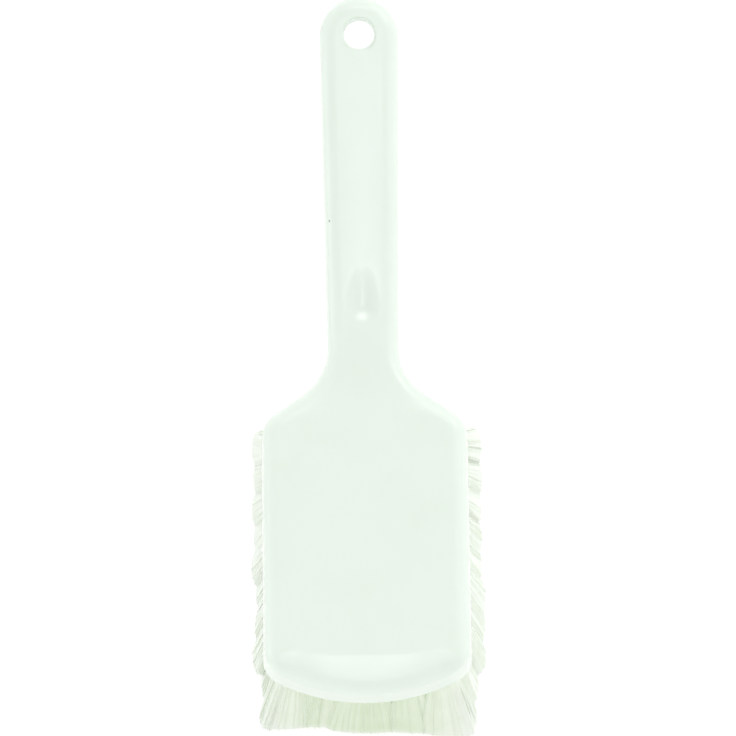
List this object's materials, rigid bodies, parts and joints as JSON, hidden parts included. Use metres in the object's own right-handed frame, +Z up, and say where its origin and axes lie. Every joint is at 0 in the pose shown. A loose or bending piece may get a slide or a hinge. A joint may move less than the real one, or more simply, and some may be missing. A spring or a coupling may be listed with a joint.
{
  "type": "scrub brush",
  "caption": "Long-handled scrub brush: white moulded block and raised handle in one piece, thumb rest, hang hole, rounded toe, flared bristle tufts held by wire anchors.",
  "frame": {"origin": "middle of the bounding box in X and Y, on the plane of the trimmed bristle tips", "axes": "+Z up from the tips to the block's back, +Y from the toe to the handle's end, +X across to the right seen from the toe"},
  "size_m": [0.0868, 0.2552, 0.0895],
  "materials": {
    "moulded_white": "satin injection-moulded polypropylene, white with a faint cool green cast",
    "bristle_white": "straight translucent white synthetic filament, trimmed flat",
    "anchor_steel": "flat drawn wire cut to length"
  },
  "bodies": {
    "root": {"handle_block": "moulded_white", "bristles_toe": "bristle_white", "bristles_front": "bristle_white", "bristles_rear": "bristle_white", "bristles_heel": "bristle_white", "anchor_1_1": "anchor_steel", "anchor_1_2": "anchor_steel", "anchor_1_3": "anchor_steel", "anchor_1_4": "anchor_steel", "anchor_1_5": "anchor_steel", "anchor_2_1": "anchor_steel", "anchor_2_2": "anchor_steel", "anchor_2_3": "anchor_steel", "anchor_2_4": "anchor_steel", "anchor_2_5": "anchor_steel", "anchor_2_6": "anchor_steel", "anchor_3_1": "anchor_steel", "anchor_3_2": "anchor_steel", "anchor_3_3": "anchor_steel", "anchor_3_4": "anchor_steel", "anchor_3_5": "anchor_steel", "anchor_4_1": "anchor_steel", "anchor_4_2": "anchor_steel", "anchor_4_3": "anchor_steel", "anchor_4_4": "anchor_steel", "anchor_4_5": "anchor_steel", "anchor_4_6": "anchor_steel", "anchor_5_1": "anchor_steel", "anchor_5_2": "anchor_steel", "anchor_5_3": "anchor_steel", "anchor_5_4": "anchor_steel", "anchor_5_5": "anchor_steel", "anchor_6_1": "anchor_steel", "anchor_6_2": "anchor_steel", "anchor_6_3": "anchor_steel", "anchor_6_4": "anchor_steel", "anchor_6_5": "anchor_steel", "anchor_6_6": "anchor_steel", "anchor_7_1": "anchor_steel", "anchor_7_2": "anchor_steel", "anchor_7_3": "anchor_steel", "anchor_7_4": "anchor_steel", "anchor_7_5": "anchor_steel", "anchor_8_1": "anchor_steel", "anchor_8_2": "anchor_steel", "anchor_8_3": "anchor_steel", "anchor_8_4": "anchor_steel", "anchor_8_5": "anchor_steel", "anchor_8_6": "anchor_steel", "anchor_9_1": "anchor_steel", "anchor_9_2": "anchor_steel", "anchor_9_3": "anchor_steel", "anchor_9_4": "anchor_steel", "anchor_9_5": "anchor_steel", "anchor_10_1": "anchor_steel", "anchor_10_2": "anchor_steel", "anchor_10_3": "anchor_steel", "anchor_10_4": "anchor_steel", "anchor_10_5": "anchor_steel", "anchor_10_6": "anchor_steel"}
  },
  "joints": []
}
